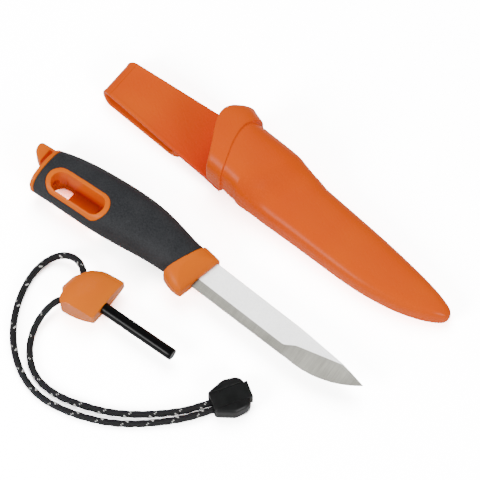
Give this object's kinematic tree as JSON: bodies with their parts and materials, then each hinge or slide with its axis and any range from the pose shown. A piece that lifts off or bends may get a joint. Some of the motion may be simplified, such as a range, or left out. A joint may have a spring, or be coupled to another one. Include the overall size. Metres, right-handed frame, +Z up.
{
  "type": "fixed blade knife with fire starter and sheath",
  "caption": "Fixed-blade utility knife with a rubber grip and windowed handle, its fire-starter rod on a braided lanyard, and its moulded belt sheath, laid out flat.",
  "frame": {"origin": "on the table, under the middle of the knife, sheath and starter", "axes": "+X along the handle from butt to blade tip, +Y from the knife towards the sheath, +Z up from the table"},
  "size_m": [0.2241, 0.1856, 0.0313],
  "materials": {
    "steel": "satin, ground edge",
    "orange_core": "semi-gloss moulded",
    "rubber": "matt, fine spark texture",
    "ferro": "black coating, semi-gloss",
    "orange_starter": "gloss moulded",
    "cord": "braided with a pale tracer",
    "black_plastic": "fine matt moulded",
    "orange_sheath": "semi-gloss moulded polypropylene"
  },
  "bodies": {
    "knife": {"blade": "steel", "handle_core": "orange_core", "rubber_grip": "rubber"},
    "sheath": {"sheath_shell": "orange_sheath"},
    "belt_loop": {"belt_loop": "orange_sheath"},
    "starter": {"starter_grip": "orange_starter", "ferro_rod": "ferro", "lanyard_long_leg": "cord", "lanyard_short_leg": "cord", "lanyard_bight": "cord", "cord_end_shell": "black_plastic"},
    "cord_clamp": {"cord_end_slider": "black_plastic"}
  },
  "joints": [
    {"name": "sheath_draw", "type": "slide", "parent": "knife", "child": "sheath", "axis": [1, 0, 0], "range_m": [0, 0.15]},
    {"name": "belt_loop_flex", "type": "hinge", "parent": "sheath", "child": "belt_loop", "pos_m": [-0.1026, 0.052, 0.012], "axis": [0, 1, 0], "range_deg": [0, 25], "stiffness_Nm_per_rad": 0.1},
    {"name": "starter_insert", "type": "slide", "parent": "knife", "child": "starter", "axis": [1, 0, 0], "range_m": [0, 0.0432]},
    {"name": "cord_clamp_slide", "type": "slide", "parent": "starter", "child": "cord_clamp", "axis": [0.5446, 0.8387, 0], "range_m": [0, 0.006]}
  ]
}
